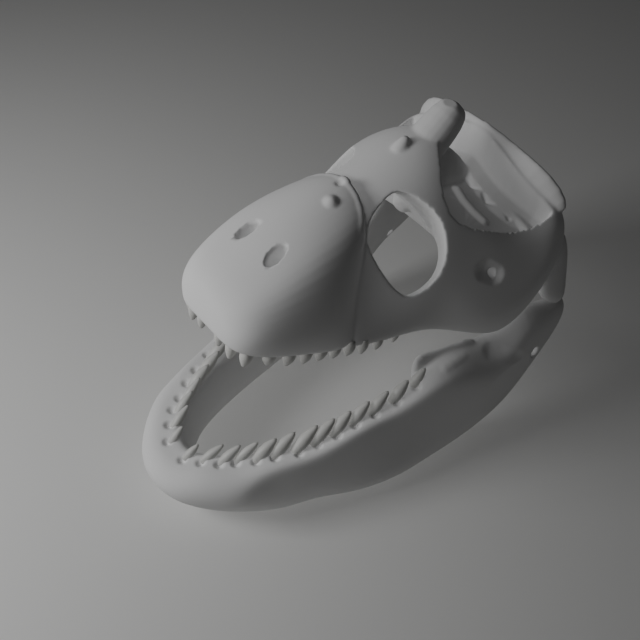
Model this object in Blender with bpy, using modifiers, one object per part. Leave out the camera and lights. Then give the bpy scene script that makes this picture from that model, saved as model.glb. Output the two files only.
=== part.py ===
"""Skull of a large meat-eating dinosaur with its jaws set open, in metres, standing on its lower jaw.

The snout points along -Y, the animal's left side is +X and up is +Z. Shapes are written as fractions of
the jaw's length, in two frames that share the jaw joint: the lower jaw in its own frame, and the upper
skull as it sits with the mouth closed. The upper skull is then turned about the joint by the gape.
"""

import math

import bmesh
import bpy
from mathutils import Matrix, Vector

# Driving dimensions.
JAW_LENGTH = 1.30  # chin to jaw joint, in metres
GAPE = math.radians(20.4)  # how far the upper skull is lifted from the closed mouth
JAW_TILT = math.radians(7.0)  # brings the underside of the lower jaw level
JOINT = Vector((0.0, 0.93, 0.19))  # the jaw joint, as fractions of the jaw's length
ROW_SHIFT = Vector((0.0, -0.5544, -0.0338))  # metres, sets the skull over the origin
GAP = 0.0003  # metres of clearance round each tooth
JOINT_GAP = 0.0040  # metres taken off the lower jaw round the quadrate's end

# How finely the bone is fused and then thinned out.
FUSE_SIZE = 0.010
SMOOTH_ROUNDS = 2
CRANIUM_TRIANGLES = 3480
MANDIBLE_TRIANGLES = 1620

TOOTH_SIDES = 6

# Colour and roughness of each kind of piece.
LOOKS = {
    "cranium_bone": ((0.40, 0.40, 0.39, 1.0), 0.62),
    "jaw_bone": ((0.38, 0.38, 0.37, 1.0), 0.62),
    "upper_tooth": ((0.47, 0.47, 0.45, 1.0), 0.50),
    "lower_tooth": ((0.48, 0.48, 0.46, 1.0), 0.50),
}


def clear_scene():
    for obj in list(bpy.data.objects):
        bpy.data.objects.remove(obj, do_unlink=True)


def make_material(name):
    colour, roughness = LOOKS[name]
    material = bpy.data.materials.new(name)
    material.use_nodes = True
    shader = material.node_tree.nodes["Principled BSDF"]
    shader.inputs["Base Color"].default_value = colour
    shader.inputs["Roughness"].default_value = roughness
    shader.inputs["Metallic"].default_value = 0.0
    material.diffuse_color = colour
    return material


def jaw_frame():
    """The lower jaw's own frame, levelled and set on the ground."""
    return Matrix.Translation(ROW_SHIFT) @ Matrix.Rotation(JAW_TILT, 4, "X")


def skull_frame():
    """The upper skull: closed-mouth frame, turned up about the joint, then levelled with the jaw."""
    joint = JOINT * JAW_LENGTH
    lift = Matrix.Translation(joint) @ Matrix.Rotation(-GAPE, 4, "X") @ Matrix.Translation(-joint)
    return jaw_frame() @ lift


def loft(name, rings):
    """A closed cage through rings of points, each ring given in fractions of the jaw's length."""
    cage = bmesh.new()
    loops = [[cage.verts.new(Vector(p) * JAW_LENGTH) for p in ring] for ring in rings]
    for here, there in zip(loops, loops[1:]):
        for i in range(len(here)):
            j = (i + 1) % len(here)
            cage.faces.new((here[i], here[j], there[j], there[i]))
    cage.faces.new(loops[0])
    cage.faces.new(list(reversed(loops[-1])))
    bmesh.ops.recalc_face_normals(cage, faces=cage.faces)
    return object_of(name, cage)


def object_of(name, shape):
    mesh = bpy.data.meshes.new(name)
    shape.to_mesh(mesh)
    shape.free()
    obj = bpy.data.objects.new(name, mesh)
    bpy.context.scene.collection.objects.link(obj)
    return obj


def soften(obj, levels):
    rounded = obj.modifiers.new("Rounded", "SUBSURF")
    rounded.levels = levels
    rounded.render_levels = levels
    return obj


def settle(obj):
    """Applies the object's modifiers to its mesh."""
    bpy.context.view_layer.update()
    graph = bpy.context.evaluated_depsgraph_get()
    mesh = bpy.data.meshes.new_from_object(obj.evaluated_get(graph))
    obj.modifiers.clear()
    obj.data = mesh
    return obj


def mirrored_copy(obj, name):
    """The same shape on the animal's right side."""
    twin = obj.copy()
    twin.data = obj.data.copy()
    twin.name = name
    bpy.context.scene.collection.objects.link(twin)
    twin.data.transform(Matrix.Scale(-1.0, 4, (1.0, 0.0, 0.0)))
    twin.data.flip_normals()
    return twin


def both_sides(obj):
    return [obj, mirrored_copy(obj, obj.name + "_right")]


def arch(y, half):
    """A closed ring across the skull at y, from its right half's (x, z) or (x, z, dy) points, bottom to top."""
    points = [(p[0], y + (p[2] if len(p) > 2 else 0.0), p[1]) for p in half]
    return points + [(-x, dy, z) for x, dy, z in reversed(points[1:-1])]


def bar(name, stops, sides=8, up=(0.0, 0.0, 1.0)):
    """A limb of oval section through stops of (centre, half-thickness across, half-thickness up)."""
    centres = [Vector(stop[0]) for stop in stops]
    rings = []
    for i, (centre, across, tall) in enumerate(stops):
        along = (centres[min(i + 1, len(stops) - 1)] - centres[max(i - 1, 0)]).normalized()
        side = along.cross(Vector(up)).normalized()
        top = side.cross(along)
        ring = []
        for k in range(sides):
            turn = 2.0 * math.pi * (k + 0.5) / sides
            ring.append(Vector(centre) + side * math.cos(turn) * across + top * math.sin(turn) * tall)
        rings.append(ring)
    return loft(name, rings)


def cut(obj, cutters):
    """Takes the cutters out of the piece, and keeps them as hidden wire shapes in its frame."""
    for cutter in cutters:
        trim = obj.modifiers.new("Cut " + cutter.name, "BOOLEAN")
        trim.operation = "DIFFERENCE"
        trim.solver = "EXACT"
        trim.object = cutter
        cutter.hide_render = True
        cutter.display_type = "WIRE"
    return settle(obj)


def join(name, pieces):
    whole = bmesh.new()
    for piece in pieces:
        whole.from_mesh(piece.data)
        bpy.data.objects.remove(piece, do_unlink=True)
    return object_of(name, whole)


def fuse(obj, size, rounds):
    """Grows overlapping pieces into one skin, as bone is, and rounds its edges a little."""
    skin = obj.modifiers.new("Fused", "REMESH")
    skin.mode = "VOXEL"
    skin.voxel_size = size
    smooth = obj.modifiers.new("Rounded", "SMOOTH")
    smooth.factor = 0.5
    smooth.iterations = rounds
    return settle(obj)


def thin_out(obj, triangles):
    have = sum(len(face.vertices) - 2 for face in obj.data.polygons)
    fewer = obj.modifiers.new("Thinned", "DECIMATE")
    fewer.ratio = min(1.0, triangles / have)
    fewer.use_symmetry = True
    fewer.symmetry_axis = "X"
    return settle(obj)


# Lower jaw. Each station is a point on the tooth line, and a section of (outward, up) offsets from it.
JAW_LINE = [
    (0.000, 0.000), (0.036, 0.008), (0.072, 0.032), (0.101, 0.062), (0.129, 0.098), (0.151, 0.142),
    (0.168, 0.190), (0.183, 0.245), (0.197, 0.310), (0.208, 0.380), (0.220, 0.450), (0.232, 0.520),
    (0.243, 0.600), (0.250, 0.680), (0.256, 0.760), (0.260, 0.840), (0.262, 0.915), (0.262, 0.980),
]  # fmt: skip
CHIN = [(-0.018, 0.010), (-0.042, 0.080), (-0.040, 0.150), (-0.024, 0.188), (0.012, 0.186),
        (0.036, 0.190), (0.092, 0.140), (0.070, 0.050), (0.018, -0.005)]  # fmt: skip
FRONT = [(-0.018, 0.010), (-0.042, 0.080), (-0.040, 0.160), (-0.024, 0.198), (0.012, 0.196),
         (0.034, 0.198), (0.088, 0.145), (0.062, 0.045), (0.014, -0.005)]  # fmt: skip
CANINE = [(-0.022, 0.010), (-0.044, 0.090), (-0.040, 0.170), (-0.024, 0.204), (0.012, 0.202),
          (0.032, 0.204), (0.068, 0.155), (0.058, 0.045), (0.016, -0.005)]  # fmt: skip
MIDDLE = [(-0.024, 0.010), (-0.044, 0.100), (-0.040, 0.190), (-0.024, 0.222), (0.012, 0.220),
          (0.032, 0.220), (0.062, 0.165), (0.080, 0.050), (0.024, -0.005)]  # fmt: skip
DEEP = [(-0.022, 0.010), (-0.044, 0.105), (-0.040, 0.205), (-0.024, 0.240), (0.012, 0.238),
        (0.034, 0.232), (0.056, 0.170), (0.092, 0.050), (0.028, -0.005)]  # fmt: skip
LAST_TEETH = [(-0.020, 0.010), (-0.042, 0.110), (-0.040, 0.210), (-0.024, 0.262), (0.012, 0.262),
              (0.042, 0.245), (0.054, 0.160), (0.074, 0.050), (0.022, -0.005)]  # fmt: skip
RISING = [(-0.018, 0.020), (-0.036, 0.130), (-0.034, 0.240), (-0.016, 0.312), (0.012, 0.312),
          (0.048, 0.262), (0.048, 0.170), (0.062, 0.050), (0.020, 0.000)]  # fmt: skip
CREST = [(-0.014, 0.080), (-0.032, 0.160), (-0.030, 0.262), (-0.016, 0.344), (0.010, 0.342),
         (0.062, 0.256), (0.048, 0.185), (0.058, 0.062), (0.028, 0.030)]  # fmt: skip
SADDLE = [(-0.010, 0.150), (-0.030, 0.200), (-0.028, 0.262), (-0.014, 0.308), (0.012, 0.306),
          (0.056, 0.240), (0.052, 0.180), (0.056, 0.100), (0.032, 0.086)]  # fmt: skip
BEHIND = [(-0.008, 0.215), (-0.024, 0.242), (-0.024, 0.286), (-0.014, 0.330), (0.012, 0.328),
          (0.042, 0.276), (0.050, 0.228), (0.048, 0.168), (0.028, 0.158)]  # fmt: skip
JOINT_END = [(-0.014, 0.240), (-0.024, 0.262), (-0.024, 0.300), (-0.014, 0.342), (0.012, 0.342),
             (0.036, 0.300), (0.040, 0.272), (0.036, 0.230), (0.014, 0.222)]  # fmt: skip
HEEL = [(-0.012, 0.290), (-0.020, 0.305), (-0.020, 0.330), (-0.010, 0.350), (0.010, 0.350),
        (0.024, 0.330), (0.026, 0.310), (0.022, 0.285), (0.008, 0.280)]  # fmt: skip
JAW_SECTIONS = [CHIN, CHIN, FRONT, FRONT, FRONT, CANINE, CANINE, CANINE, MIDDLE, DEEP, DEEP, LAST_TEETH,
                RISING, CREST, SADDLE, BEHIND, JOINT_END, HEEL]  # fmt: skip


def jaw_base(y):
    """Height of the jaw's underside in its own frame, before it is levelled."""
    return 0.020 - 0.123 * y


def jaw_ring(i):
    """The section set square to the tooth line at station i."""
    before = Vector(JAW_LINE[max(i - 1, 0)])
    after = Vector(JAW_LINE[min(i + 1, len(JAW_LINE) - 1)])
    along = (after - before).normalized()
    out = Vector((along.y, -along.x)) if i else Vector((0.0, -1.0))
    x, y = JAW_LINE[i]
    return [
        (max(0.0, x + out.x * outward), y + out.y * outward, jaw_base(y) + up)
        for outward, up in JAW_SECTIONS[i]
    ]


def make_mandible():
    left = [jaw_ring(i) for i in range(1, len(JAW_LINE))]
    right = [[(-x, y, z) for x, y, z in ring] for ring in reversed(left)]
    jaw = settle(soften(loft("jaw_body", right + [jaw_ring(0)] + left), 2))
    blade = bar(
        "blade",
        [
            ((0.190, 0.545, 0.215), 0.012, 0.050),
            ((0.200, 0.580, 0.222), 0.014, 0.060),
            ((0.222, 0.650, 0.225), 0.016, 0.052),
            ((0.240, 0.720, 0.225), 0.016, 0.045),
        ],
    )
    settle(soften(blade, 1))
    holes = []
    for name, y, z, radius in MANDIBLE_HOLES:
        hole = bar(name, [((0.18, y, z), 0.8 * radius, radius), ((0.36, y, z), 0.8 * radius, radius)], 10)
        holes += both_sides(hole)
    mandible = fuse(join("mandible", [jaw] + both_sides(blade)), FUSE_SIZE, SMOOTH_ROUNDS)
    return cut(mandible, holes)


# Holes through each side of the lower jaw: name, y, z and half height.
MANDIBLE_HOLES = [("jaw_window", 0.852, 0.150, 0.016)]


# Upper skull, closed-mouth frame.
def snout_rings():
    """The smooth bulb of the snout: (y, foot height, foot, side, shoulder and top points)."""
    table = [
        (0.062, 0.262, 0.055, (0.068, 0.290, 0.0), (0.050, 0.312), 0.322),
        (0.074, 0.245, 0.092, (0.110, 0.290, 0.0), (0.088, 0.332), 0.350),
        (0.098, 0.236, 0.115, (0.138, 0.295, 0.0), (0.110, 0.356), 0.376),
        (0.135, 0.233, 0.136, (0.158, 0.300, 0.0), (0.124, 0.380), 0.406),
        (0.180, 0.233, 0.153, (0.173, 0.308, 0.0), (0.132, 0.408), 0.442),
        (0.235, 0.233, 0.168, (0.186, 0.315, 0.0), (0.138, 0.434), 0.482),
        (0.295, 0.233, 0.183, (0.196, 0.320, -0.008), (0.142, 0.452), 0.518),
        (0.345, 0.234, 0.186, (0.190, 0.320, -0.036), (0.138, 0.466), 0.540),
        (0.378, 0.238, 0.172, (0.168, 0.322, -0.056), (0.128, 0.476), 0.549),
        (0.392, 0.242, 0.150, (0.145, 0.324, -0.066), (0.118, 0.474), 0.546),
    ]
    rings = []
    for y, foot_z, foot_x, side, shoulder, top in table:
        pull = side[2]
        half = [
            (0.0, foot_z, pull), (0.6 * foot_x, foot_z, pull), (foot_x, foot_z, pull),
            (foot_x + 0.008, foot_z + 0.022, pull), side, shoulder + (0.5 * pull,),
            (0.55 * shoulder[0], 0.35 * shoulder[1] + 0.65 * top), (0.0, top),
        ]  # fmt: skip
        rings.append(arch(y, half))
    return rings


def face_rings():
    """Roof, brow, cheek and back of the skull: the (x, z) half section at each y, foot to ridge."""
    table = [
        (0.300, [(0.0, 0.238), (0.140, 0.236), (0.186, 0.232), (0.168, 0.282), (0.144, 0.350),
                 (0.126, 0.400), (0.098, 0.432), (0.060, 0.458), (0.0, 0.474)]),
        (0.350, [(0.0, 0.238), (0.152, 0.236), (0.206, 0.230), (0.174, 0.285), (0.144, 0.350),
                 (0.126, 0.408), (0.096, 0.456), (0.058, 0.486), (0.0, 0.500)]),
        (0.410, [(0.0, 0.240), (0.166, 0.238), (0.216, 0.232), (0.190, 0.300), (0.166, 0.365),
                 (0.142, 0.425), (0.104, 0.486), (0.058, 0.518), (0.0, 0.532)]),
        (0.470, [(0.0, 0.248), (0.176, 0.246), (0.222, 0.242), (0.216, 0.305), (0.202, 0.370),
                 (0.170, 0.445), (0.112, 0.522), (0.062, 0.558), (0.0, 0.574)]),
        (0.530, [(0.0, 0.245), (0.188, 0.245), (0.228, 0.242), (0.234, 0.305), (0.224, 0.375),
                 (0.186, 0.460), (0.128, 0.546), (0.070, 0.592), (0.0, 0.612)]),
        (0.590, [(0.0, 0.232), (0.206, 0.232), (0.244, 0.230), (0.250, 0.305), (0.238, 0.375),
                 (0.202, 0.452), (0.152, 0.534), (0.080, 0.608), (0.0, 0.636)]),
        (0.650, [(0.0, 0.218), (0.228, 0.218), (0.264, 0.216), (0.268, 0.295), (0.256, 0.370),
                 (0.226, 0.438), (0.185, 0.500), (0.090, 0.600), (0.0, 0.640)]),
        (0.710, [(0.0, 0.206), (0.246, 0.206), (0.284, 0.204), (0.282, 0.295), (0.266, 0.370),
                 (0.244, 0.428), (0.208, 0.478), (0.095, 0.585), (0.0, 0.625)]),
        (0.770, [(0.0, 0.230), (0.246, 0.230), (0.282, 0.228), (0.280, 0.308), (0.268, 0.375),
                 (0.254, 0.430), (0.230, 0.486), (0.110, 0.575), (0.0, 0.605)]),
        (0.820, [(0.0, 0.292), (0.236, 0.292), (0.272, 0.290), (0.276, 0.340), (0.270, 0.395),
                 (0.262, 0.450), (0.246, 0.512), (0.120, 0.575), (0.0, 0.600)]),
        (0.858, [(0.0, 0.325), (0.220, 0.325), (0.256, 0.325), (0.266, 0.362), (0.266, 0.415),
                 (0.262, 0.465), (0.242, 0.508), (0.120, 0.550), (0.0, 0.570)]),
        (0.878, [(0.0, 0.350), (0.190, 0.350), (0.226, 0.350), (0.244, 0.380), (0.246, 0.415),
                 (0.240, 0.450), (0.214, 0.482), (0.110, 0.505), (0.0, 0.515)]),
    ]  # fmt: skip
    return [arch(y, half) for y, half in table]


def vault_rings():
    """The hollow under the skull: the mouth's roof, the space between the orbits and the back."""
    table = [
        (0.115, [(0.0, 0.100), (0.050, 0.100), (0.058, 0.200), (0.056, 0.250), (0.040, 0.270), (0.0, 0.275)]),
        (0.160, [(0.0, 0.100), (0.085, 0.100), (0.094, 0.200), (0.092, 0.260), (0.070, 0.300), (0.0, 0.312)]),
        (0.230, [(0.0, 0.100), (0.118, 0.100), (0.126, 0.200), (0.124, 0.275), (0.095, 0.335), (0.0, 0.352)]),
        (0.300, [(0.0, 0.100), (0.132, 0.100), (0.140, 0.200), (0.130, 0.290), (0.105, 0.370), (0.0, 0.392)]),
        (0.370, [(0.0, 0.100), (0.145, 0.100), (0.152, 0.200), (0.128, 0.310), (0.090, 0.425), (0.0, 0.450)]),
        (0.440, [(0.0, 0.100), (0.160, 0.100), (0.168, 0.220), (0.158, 0.340), (0.095, 0.475), (0.0, 0.505)]),
        (0.510, [(0.0, 0.100), (0.180, 0.100), (0.190, 0.220), (0.184, 0.355), (0.115, 0.500), (0.0, 0.535)]),
        (0.580, [(0.0, 0.100), (0.200, 0.100), (0.208, 0.220), (0.200, 0.345), (0.128, 0.430), (0.0, 0.445)]),
        (0.640, [(0.0, 0.100), (0.220, 0.100), (0.226, 0.220), (0.215, 0.325), (0.150, 0.365), (0.0, 0.368)]),
        (0.720, [(0.0, 0.100), (0.238, 0.100), (0.243, 0.220), (0.226, 0.318), (0.150, 0.345), (0.0, 0.345)]),
        (0.800, [(0.0, 0.100), (0.240, 0.100), (0.243, 0.220), (0.226, 0.325), (0.150, 0.350), (0.0, 0.350)]),
        (0.920, [(0.0, 0.100), (0.240, 0.100), (0.243, 0.220), (0.226, 0.325), (0.150, 0.350), (0.0, 0.350)]),
    ]  # fmt: skip
    return [arch(y, half) for y, half in table]


# The orbit's rim on the animal's left side, and the way the opening runs through the wall.
ORBIT_RIM = [
    (0.124, 0.360, 0.484), (0.098, 0.386, 0.508), (0.085, 0.434, 0.541), (0.098, 0.466, 0.549),
    (0.145, 0.508, 0.525), (0.176, 0.528, 0.486), (0.200, 0.528, 0.430), (0.207, 0.504, 0.380),
    (0.196, 0.458, 0.348), (0.176, 0.424, 0.364), (0.148, 0.388, 0.412), (0.138, 0.360, 0.461),
]  # fmt: skip
ORBIT_WAY = Vector((0.66, -0.50, 0.56)).normalized()

# The hollow on top behind the brow: x, its front edge and its rear edge, y.
FOSSA_EDGE = [
    (0.000, 0.604, 0.782), (0.030, 0.594, 0.780), (0.056, 0.580, 0.776), (0.083, 0.566, 0.776), (0.107, 0.554, 0.778), (0.130, 0.550, 0.782), (0.152, 0.556, 0.788),
    (0.170, 0.574, 0.794), (0.185, 0.602, 0.800), (0.197, 0.638, 0.806), (0.213, 0.693, 0.812),
    (0.227, 0.749, 0.818), (0.234, 0.790, 0.820),
]  # fmt: skip


def smooth_ring(points, steps):
    """A closed curve through the points."""
    count = len(points)
    curve = []
    for i in range(count):
        a, b, c, d = (Vector(points[(i + k) % count]) for k in (-1, 0, 1, 2))
        for k in range(steps):
            t = k / steps
            curve.append(0.5 * (2 * b + (c - a) * t + (2 * a - 5 * b + 4 * c - d) * t * t
                                + (3 * b - a - 3 * c + d) * t ** 3))  # fmt: skip
    return curve


def orbit_cutter():
    rim = smooth_ring(ORBIT_RIM, 3)
    return loft("orbit", [[p + ORBIT_WAY * 0.12 for p in rim], [p - ORBIT_WAY * 0.09 for p in rim]])


def fossa_floor(x):
    return 0.498 - 0.28 * abs(x)


def fossa_cutter():
    half = []
    for x, front, rear in FOSSA_EDGE:
        floor = fossa_floor(x)
        foot = 0.2 * (rear - front)
        half.append([
            (x, front, 0.80), (x, front, floor + 0.03), (x, front + foot, floor),
            (x, rear - foot, floor), (x, rear, floor + 0.03), (x, rear, 0.80),
        ])  # fmt: skip
    right = [[(-x, y, z) for x, y, z in ring] for ring in reversed(half[1:])]
    return loft("fossa", right + half)


def naris_cutter():
    """A pit that slants back into the snout."""
    return bar("naris", [
        ((0.052, 0.145, 0.470), 0.014, 0.020),
        ((0.046, 0.175, 0.428), 0.015, 0.022),
        ((0.040, 0.215, 0.398), 0.010, 0.014),
    ], 10)  # fmt: skip


def cheek_hole():
    return bar("cheek_hole", [((0.222, 0.650, 0.388), 0.010, 0.012), ((0.300, 0.652, 0.392), 0.012, 0.014)], 10)


def quadrate(name, extra=0.0):
    """The limb that carries the jaw joint, its end grown by extra."""
    stops = [
        ((0.236, 0.845, 0.450), 0.020, 0.032), ((0.252, 0.860, 0.400), 0.022, 0.046),
        ((0.260, 0.870, 0.350), 0.022, 0.052), ((0.266, 0.888, 0.300), 0.024, 0.048),
        ((0.268, 0.912, 0.268), 0.030, 0.030), ((0.268, 0.920, 0.252), 0.018, 0.016),
    ]  # fmt: skip
    (x, y, z), across, tall = stops[-1]
    stops[-1] = ((x, y, z - extra), across, tall)
    grown = [(centre, across + extra, tall + extra) for centre, across, tall in stops]
    return bar(name, grown, 8, (0.0, 1.0, 0.0))


def skull_limbs():
    """The transverse crest, the knob and horn on the midline, the quadrates and the neck's ball."""
    crest = [
        ((0.0, 0.806, 0.590), 0.011, 0.028), ((0.100, 0.804, 0.578), 0.011, 0.030),
        ((0.158, 0.812, 0.564), 0.011, 0.032), ((0.208, 0.838, 0.522), 0.012, 0.030),
        ((0.232, 0.858, 0.482), 0.010, 0.018),
    ]  # fmt: skip
    mirror = [((-x, y, z), across, tall) for (x, y, z), across, tall in reversed(crest[1:])]
    knob = bar("knob", [
        ((0.0, 0.560, 0.545), 0.050, 0.040), ((0.0, 0.612, 0.606), 0.044, 0.042),
        ((0.0, 0.648, 0.652), 0.038, 0.036), ((0.0, 0.674, 0.684), 0.020, 0.020),
    ])  # fmt: skip
    mound = bar("mound", [
        ((0.0, 0.560, 0.520), 0.052, 0.050), ((0.0, 0.650, 0.530), 0.050, 0.062),
        ((0.0, 0.710, 0.505), 0.046, 0.040), ((0.0, 0.765, 0.480), 0.024, 0.020),
    ])  # fmt: skip
    horn = bar("horn", [
        ((0.0, 0.512, 0.560), 0.026, 0.026), ((0.0, 0.526, 0.614), 0.018, 0.018),
        ((0.0, 0.538, 0.632), 0.008, 0.008),
    ])  # fmt: skip
    ball = bar("neck_ball", [
        ((0.0, 0.840, 0.405), 0.040, 0.040), ((0.0, 0.885, 0.390), 0.034, 0.032),
        ((0.0, 0.915, 0.380), 0.034, 0.030), ((0.0, 0.930, 0.375), 0.018, 0.016),
    ])  # fmt: skip
    lump = bar("front_lump", [
        ((0.0, 0.620, 0.470), 0.040, 0.040), ((0.0, 0.585, 0.440), 0.034, 0.030),
        ((0.0, 0.565, 0.425), 0.018, 0.016),
    ])  # fmt: skip
    limbs = [bar("crest", mirror + crest), knob, mound, horn, ball, lump] + both_sides(quadrate("quadrate"))
    return [settle(soften(limb, 1)) for limb in limbs]


def make_cranium():
    snout = settle(soften(loft("snout", snout_rings()), 2))
    face = settle(soften(loft("face", face_rings()), 2))
    vault = settle(soften(loft("vault", vault_rings()), 2))
    skull = fuse(join("hull", [snout, face]), FUSE_SIZE, 0)
    cut(skull, [vault, fossa_cutter()] + both_sides(orbit_cutter()))
    skull = fuse(join("cranium", [skull] + skull_limbs()), FUSE_SIZE, SMOOTH_ROUNDS)
    return cut(skull, both_sides(naris_cutter()) + both_sides(cheek_hole()))


# Teeth of the animal's left side: where each leaves the gum, its tip, and its half width there.
LOWER_TEETH = [
    ((0.030, 0.017, 0.198), (0.033, 0.045, 0.212), 0.009),
    ((0.062, 0.043, 0.196), (0.072, 0.087, 0.215), 0.011),
    ((0.092, 0.072, 0.194), (0.100, 0.116, 0.216), 0.012),
    ((0.110, 0.103, 0.192), (0.120, 0.151, 0.217), 0.012),
    ((0.134, 0.138, 0.190), (0.139, 0.188, 0.218), 0.013),
    ((0.151, 0.175, 0.190), (0.154, 0.230, 0.220), 0.013),
    ((0.174, 0.221, 0.192), (0.174, 0.280, 0.222), 0.013),
    ((0.185, 0.264, 0.194), (0.186, 0.320, 0.224), 0.013),
    ((0.196, 0.312, 0.197), (0.195, 0.360, 0.226), 0.013),
    ((0.203, 0.361, 0.200), (0.204, 0.408, 0.229), 0.012),
    ((0.211, 0.413, 0.203), (0.213, 0.458, 0.233), 0.012),
    ((0.220, 0.472, 0.207), (0.222, 0.510, 0.238), 0.012),
    ((0.222, 0.530, 0.212), (0.225, 0.560, 0.243), 0.011),
]
UPPER_TEETH = [
    ((0.032, 0.092, 0.244), (0.032, 0.098, 0.212), 0.012),
    ((0.072, 0.098, 0.242), (0.072, 0.104, 0.206), 0.013),
    ((0.106, 0.118, 0.240), (0.105, 0.124, 0.202), 0.014),
    ((0.126, 0.155, 0.239), (0.123, 0.161, 0.203), 0.014),
    ((0.142, 0.194, 0.239), (0.141, 0.199, 0.205), 0.014),
    ((0.154, 0.229, 0.239), (0.153, 0.234, 0.207), 0.014),
    ((0.163, 0.263, 0.239), (0.162, 0.268, 0.209), 0.013),
    ((0.171, 0.296, 0.239), (0.170, 0.300, 0.211), 0.012),
    ((0.179, 0.330, 0.239), (0.178, 0.334, 0.212), 0.012),
    ((0.186, 0.363, 0.240), (0.186, 0.367, 0.214), 0.011),
    ((0.191, 0.402, 0.240), (0.191, 0.406, 0.216), 0.011),
    ((0.193, 0.450, 0.246), (0.193, 0.455, 0.222), 0.010),
]
ROOT_DEPTH = 0.020


def tooth(name, neck, tip, radius, clearance=0.0):
    """A cone with a blunt tip, and a root that narrows into the gum."""
    neck, tip = Vector(neck), Vector(tip)
    along = (tip - neck).normalized()
    extra = clearance / JAW_LENGTH
    stops = [
        (neck - along * (ROOT_DEPTH + extra), 0.75 * radius),
        (neck, radius),
        (neck.lerp(tip, 0.55), 0.68 * radius),
        (tip + along * extra, 0.20 * radius),
    ]
    return bar(name, [(centre, half + extra, half + extra) for centre, half in stops], TOOTH_SIDES,
               (0.0, 1.0, 0.1))  # fmt: skip


def make_teeth(bone, row, label):
    """Cuts a socket in the bone for each tooth of both sides, and returns the teeth."""
    teeth, sockets = [], []
    for i, (neck, tip, radius) in enumerate(row):
        name = f"{label}_tooth_{i + 1:02d}"
        left = tooth(name + "_left", neck, tip, radius)
        teeth += [left, mirrored_copy(left, name + "_right")]
        socket = tooth(name + "_socket", neck, tip, radius, GAP)
        sockets += both_sides(socket)
    cut(bone, sockets)
    return teeth


def ground_cutter():
    """A slab whose top is the ground, so that the jaw stands on flats."""
    bpy.ops.mesh.primitive_cube_add(size=1.0)
    slab = bpy.context.object
    slab.name = "ground"
    slab.scale = (3.0, 3.0, 0.5)
    slab.location = (0.0, 0.0, -0.25)
    return slab


def collection_of(name, objects):
    group = bpy.data.collections.new(name)
    bpy.context.scene.collection.children.link(group)
    for obj in objects:
        for old in list(obj.users_collection):
            old.objects.unlink(obj)
        group.objects.link(obj)


def hang(name, frame, pieces, cutters):
    """An empty that carries the pieces made in one frame."""
    holder = bpy.data.objects.new(name, None)
    bpy.context.scene.collection.objects.link(holder)
    holder.matrix_world = frame
    for piece in pieces + cutters:
        piece.parent = holder
    return holder


def main():
    clear_scene()
    looks = {name: make_material(name) for name in LOOKS}

    mandible = thin_out(make_mandible(), MANDIBLE_TRIANGLES)
    lower_teeth = make_teeth(mandible, LOWER_TEETH, "lower")
    lower = [mandible] + lower_teeth
    lower_cutters = [obj for obj in bpy.data.objects if obj.hide_render]
    jaw = hang("lower_jaw", jaw_frame(), lower, lower_cutters)

    cranium = thin_out(make_cranium(), CRANIUM_TRIANGLES)
    upper_teeth = make_teeth(cranium, UPPER_TEETH, "upper")
    upper = [cranium] + upper_teeth
    upper_cutters = [obj for obj in bpy.data.objects if obj.hide_render and obj not in lower_cutters]
    skull = hang("upper_skull", skull_frame(), upper, upper_cutters)

    ground = ground_cutter()
    cotyles = both_sides(quadrate("cotyle", JOINT_GAP / JAW_LENGTH))
    for cotyle in cotyles:
        cotyle.parent = skull
    cut(mandible, [ground] + cotyles)

    for piece, look in ((mandible, "jaw_bone"), (cranium, "cranium_bone")):
        piece.data.materials.append(looks[look])
    for piece in lower_teeth:
        piece.data.materials.append(looks["lower_tooth"])
    for piece in upper_teeth:
        piece.data.materials.append(looks["upper_tooth"])
    for piece in lower + upper:
        piece.data.shade_smooth()
    collection_of("Theropod skull", [jaw, skull] + lower + upper)
    collection_of("Cutters", lower_cutters + upper_cutters + [ground] + cotyles)
    bpy.context.view_layer.update()


main()
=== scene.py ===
# %% [markdown]
# A large meat-eating dinosaur's skull, with its jaws set open.
#
# The real thing is two big pieces, the upper skull and the lower jaw, each of several bones grown together,
# with a row of teeth round it. Bone is a soft-edged form with one skin, so it suits a sculptor's way of
# working: build the big masses as simple closed shapes, melt them into one skin with a voxel remesh, cut the
# openings, and press the small marks in last.
#
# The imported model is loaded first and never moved. It gives the box that everything made here has to stay in.

# %% Load the frame
import math

import bmesh
import bpy
import numpy as np
from mathutils import Matrix, Vector


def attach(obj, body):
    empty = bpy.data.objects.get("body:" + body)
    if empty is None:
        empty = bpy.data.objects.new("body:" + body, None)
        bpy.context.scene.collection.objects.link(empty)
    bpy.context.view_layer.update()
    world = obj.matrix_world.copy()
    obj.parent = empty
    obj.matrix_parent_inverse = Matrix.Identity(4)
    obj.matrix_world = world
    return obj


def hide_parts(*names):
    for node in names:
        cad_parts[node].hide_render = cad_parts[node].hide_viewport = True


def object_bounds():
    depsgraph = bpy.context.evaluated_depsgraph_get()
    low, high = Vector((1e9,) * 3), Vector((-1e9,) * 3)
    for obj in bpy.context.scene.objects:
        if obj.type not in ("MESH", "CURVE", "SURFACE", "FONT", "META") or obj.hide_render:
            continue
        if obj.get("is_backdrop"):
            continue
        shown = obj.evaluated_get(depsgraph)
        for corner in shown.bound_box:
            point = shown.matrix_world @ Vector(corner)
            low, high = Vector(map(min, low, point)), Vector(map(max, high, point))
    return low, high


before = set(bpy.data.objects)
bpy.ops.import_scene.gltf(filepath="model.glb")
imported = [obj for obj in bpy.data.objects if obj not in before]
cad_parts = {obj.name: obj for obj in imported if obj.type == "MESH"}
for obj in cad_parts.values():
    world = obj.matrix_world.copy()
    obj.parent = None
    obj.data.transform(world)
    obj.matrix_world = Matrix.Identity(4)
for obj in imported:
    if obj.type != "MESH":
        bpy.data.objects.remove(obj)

box_low, box_high = (np.array(corner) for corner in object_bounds())
node_names = sorted(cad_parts)
print("the skull's box, in metres:", box_low.round(4), box_high.round(4))
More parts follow.
